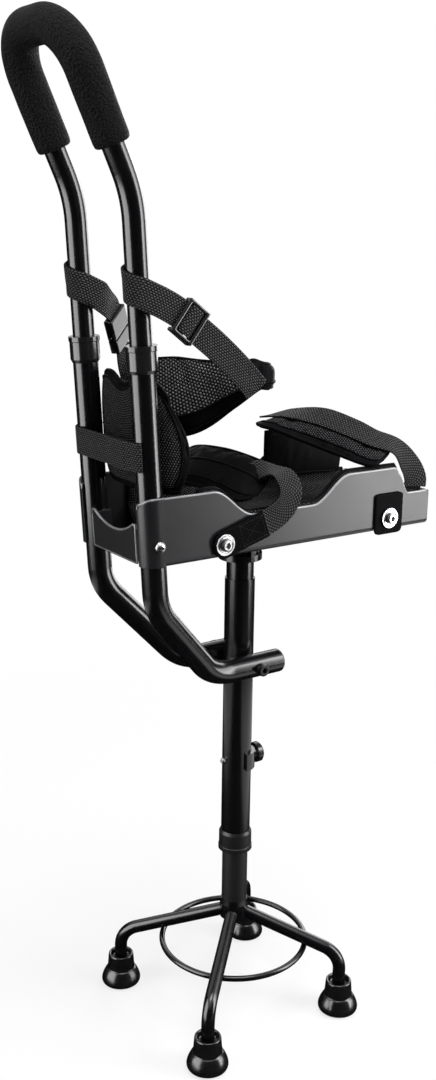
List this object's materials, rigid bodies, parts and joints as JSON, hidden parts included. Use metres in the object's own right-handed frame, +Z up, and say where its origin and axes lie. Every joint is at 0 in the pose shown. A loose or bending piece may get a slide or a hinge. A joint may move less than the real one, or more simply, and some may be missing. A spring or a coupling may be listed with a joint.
{
  "type": "hands free crutch",
  "caption": "Black knee crutch: padded shin tray with thigh and calf straps on a telescoping post with a legged base, and an upright U handle with a foam grip.",
  "frame": {"origin": "on the floor, under the middle of the bounding box", "axes": "+Z up, -X the way the wearer faces, -Y the near side in the picture"},
  "size_m": [0.3958, 0.202, 0.9302],
  "materials": {
    "black_paint": "gloss",
    "tray_paint": "satin",
    "black_steel": "satin",
    "bright_steel": "polished",
    "gloss_black": "gloss",
    "plug_plastic": "matte",
    "foot_rubber": "satin",
    "foam": "matte",
    "pad_fabric": "matte",
    "webbing": "matte"
  },
  "bodies": {
    "base": {"front_near_foot": "foot_rubber", "front_far_foot": "foot_rubber", "rear_near_foot": "foot_rubber", "rear_far_foot": "foot_rubber", "front_near_leg": "black_paint", "front_far_leg": "black_paint", "rear_near_leg": "black_paint", "rear_far_leg": "black_paint", "base_ring": "black_paint", "leg_hub": "black_paint", "lower_post": "black_paint", "lower_post_plug": "plug_plastic"},
    "frame": {"upper_post": "black_paint", "post_spigot": "black_paint", "post_head": "black_paint", "head_bolts": "black_steel", "head_nuts": "black_steel", "near_frame_tube": "black_paint", "far_frame_tube": "black_paint", "tube_end_plugs": "plug_plastic", "cross_bolt": "black_steel", "cross_nut": "black_steel", "shin_tray": "tray_paint", "front_plate": "tray_paint", "tray_screws": "bright_steel", "strap_bolts": "bright_steel", "strap_washers": "bright_steel", "strap_nuts": "bright_steel", "shin_cushion": "pad_fabric", "knee_pad": "pad_fabric", "lower_strap": "webbing", "front_wing_pad": "pad_fabric", "front_strap": "webbing", "rear_flap": "pad_fabric", "rear_pad": "pad_fabric", "rear_strap": "webbing", "rear_tab": "pad_fabric"},
    "handle": {"handle_tube": "black_paint", "handle_glides": "plug_plastic", "foam_grip": "foam", "near_strap": "webbing", "near_slider": "gloss_black", "far_strap": "webbing", "far_buckle_socket": "gloss_black", "far_buckle_clip": "gloss_black", "far_strap_tail": "webbing", "thigh_band": "pad_fabric"},
    "near_collar": {"near_collar": "gloss_black"},
    "far_collar": {"far_collar": "gloss_black"},
    "post_collar": {"post_collar": "gloss_black"},
    "lock_pin": {"lock_pin": "bright_steel", "pin_knob": "gloss_black", "pin_clip": "gloss_black"}
  },
  "joints": [
    {"name": "post_slide", "type": "slide", "parent": "base", "child": "frame", "axis": [0, 0, 1], "range_m": [0, 0.075]},
    {"name": "handle_slide", "type": "slide", "parent": "frame", "child": "handle", "axis": [-0.0628, 0, 0.998], "range_m": [0, 0.1]},
    {"name": "near_collar_twist", "type": "hinge", "parent": "frame", "child": "near_collar", "pos_m": [-0.11853, -0.048, 0.665], "axis": [-0.0628, 0, 0.998], "range_deg": [0, 90]},
    {"name": "far_collar_twist", "type": "hinge", "parent": "frame", "child": "far_collar", "pos_m": [-0.11853, 0.048, 0.665], "axis": [-0.0628, 0, 0.998], "range_deg": [0, 90]},
    {"name": "post_collar_twist", "type": "hinge", "parent": "frame", "child": "post_collar", "pos_m": [0.01792, 0, 0.178], "axis": [0, 0, 1], "range_deg": [0, 90]},
    {"name": "lock_pin_pull", "type": "slide", "parent": "frame", "child": "lock_pin", "axis": [1, 0, 0], "range_m": [0, 0.04]}
  ]
}
